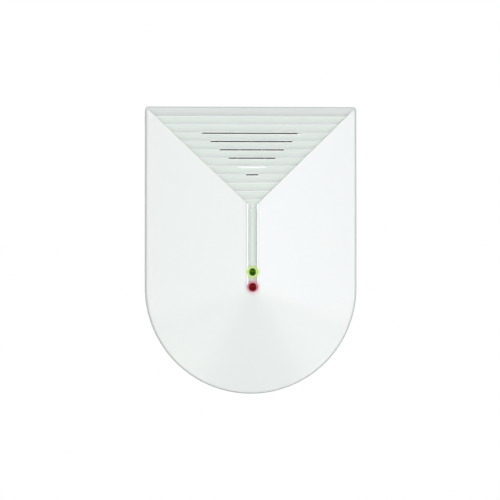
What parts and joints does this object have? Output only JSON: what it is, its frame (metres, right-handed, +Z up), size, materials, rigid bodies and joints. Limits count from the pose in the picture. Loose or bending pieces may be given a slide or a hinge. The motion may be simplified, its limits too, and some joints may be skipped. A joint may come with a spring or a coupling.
{
  "type": "glass break sensor",
  "caption": "Wall-mounted acoustic glass break sensor: white hip-roofed cover with a louvred triangle and two small lights, hinged at its top on a back plate that holds a circuit board.",
  "frame": {"origin": "middle of the back of the back plate, on the wall plane, at half the cover's height and width", "axes": "+X to the viewer's right as the sensor is seen on its wall, +Y into the wall, +Z up along the wall"},
  "size_m": [0.0666, 0.0251, 0.09],
  "materials": {
    "white_cover": "satin moulded white plastic",
    "white_base": "moulded white plastic, fine matt texture",
    "board_green": "green solder mask over glass fibre",
    "screw_steel": "zinc-plated steel",
    "black_rubber": "moulded soft rubber",
    "capsule_metal": "drawn aluminium can",
    "black_felt": "thin felt",
    "tinned_metal": "tinned, soldered legs",
    "terminal_plastic": "blue moulded plastic",
    "clamp_brass": "nickelled brass",
    "relay_plastic": "cream moulded plastic",
    "black_package": "black moulding compound",
    "plunger_plastic": "red moulded plastic",
    "crystal_metal": "nickelled steel can",
    "chip_ceramic": "glazed chip resistors with tinned ends",
    "chip_tan": "tan ceramic chips with tinned ends",
    "green_lens": "tinted epoxy resin, lit",
    "red_lens": "tinted epoxy resin, lit",
    "spacer_plastic": "natural nylon",
    "capacitor_sleeve": "dark sleeve on an aluminium can",
    "header_plastic": "black moulded plastic",
    "pin_gold": "gold-flashed square pins",
    "jumper_plastic": "red moulded plastic"
  },
  "bodies": {
    "base": {"back_plate": "white_base", "circuit_board": "board_green", "board_screws": "screw_steel", "microphone_boot": "black_rubber", "microphone_capsule": "capsule_metal", "microphone_felt": "black_felt", "microphone_pins": "tinned_metal", "terminal_housing": "terminal_plastic", "terminal_clamps": "clamp_brass", "terminal_screws": "screw_steel", "relay_case": "relay_plastic", "relay_pins": "tinned_metal", "tamper_switch": "black_package", "tamper_switch_pins": "tinned_metal", "processor_chip": "black_package", "processor_leads": "tinned_metal", "amplifier_chip": "black_package", "amplifier_leads": "tinned_metal", "crystal_can": "crystal_metal", "crystal_pins": "tinned_metal", "regulator_body": "black_package", "regulator_legs": "tinned_metal", "surge_suppressor": "black_package", "chip_resistors": "chip_ceramic", "chip_capacitors": "chip_tan", "red_light": "red_lens", "red_light_leads": "tinned_metal", "red_light_spacer": "spacer_plastic", "green_light": "green_lens", "green_light_leads": "tinned_metal", "green_light_spacer": "spacer_plastic", "sensitivity_header": "header_plastic", "sensitivity_header_pins": "pin_gold", "sensitivity_jumper": "jumper_plastic", "light_header": "header_plastic", "light_header_pins": "pin_gold", "light_jumper": "jumper_plastic", "supply_capacitor": "capacitor_sleeve", "supply_capacitor_pins": "tinned_metal", "filter_capacitor": "capacitor_sleeve", "filter_capacitor_pins": "tinned_metal", "coupling_capacitor": "capacitor_sleeve", "coupling_capacitor_pins": "tinned_metal"},
    "cover": {"front_cover": "white_cover"},
    "plunger": {"tamper_plunger": "plunger_plastic"}
  },
  "joints": [
    {"name": "cover_swing", "type": "hinge", "parent": "base", "child": "cover", "pos_m": [0, -0.0015, 0.0425], "axis": [-1, 0, 0], "range_deg": [0, 28]},
    {"name": "tamper_press", "type": "slide", "parent": "base", "child": "plunger", "axis": [0, 1, 0], "range_m": [0, 0.0005], "stiffness_N_per_m": 300}
  ]
}
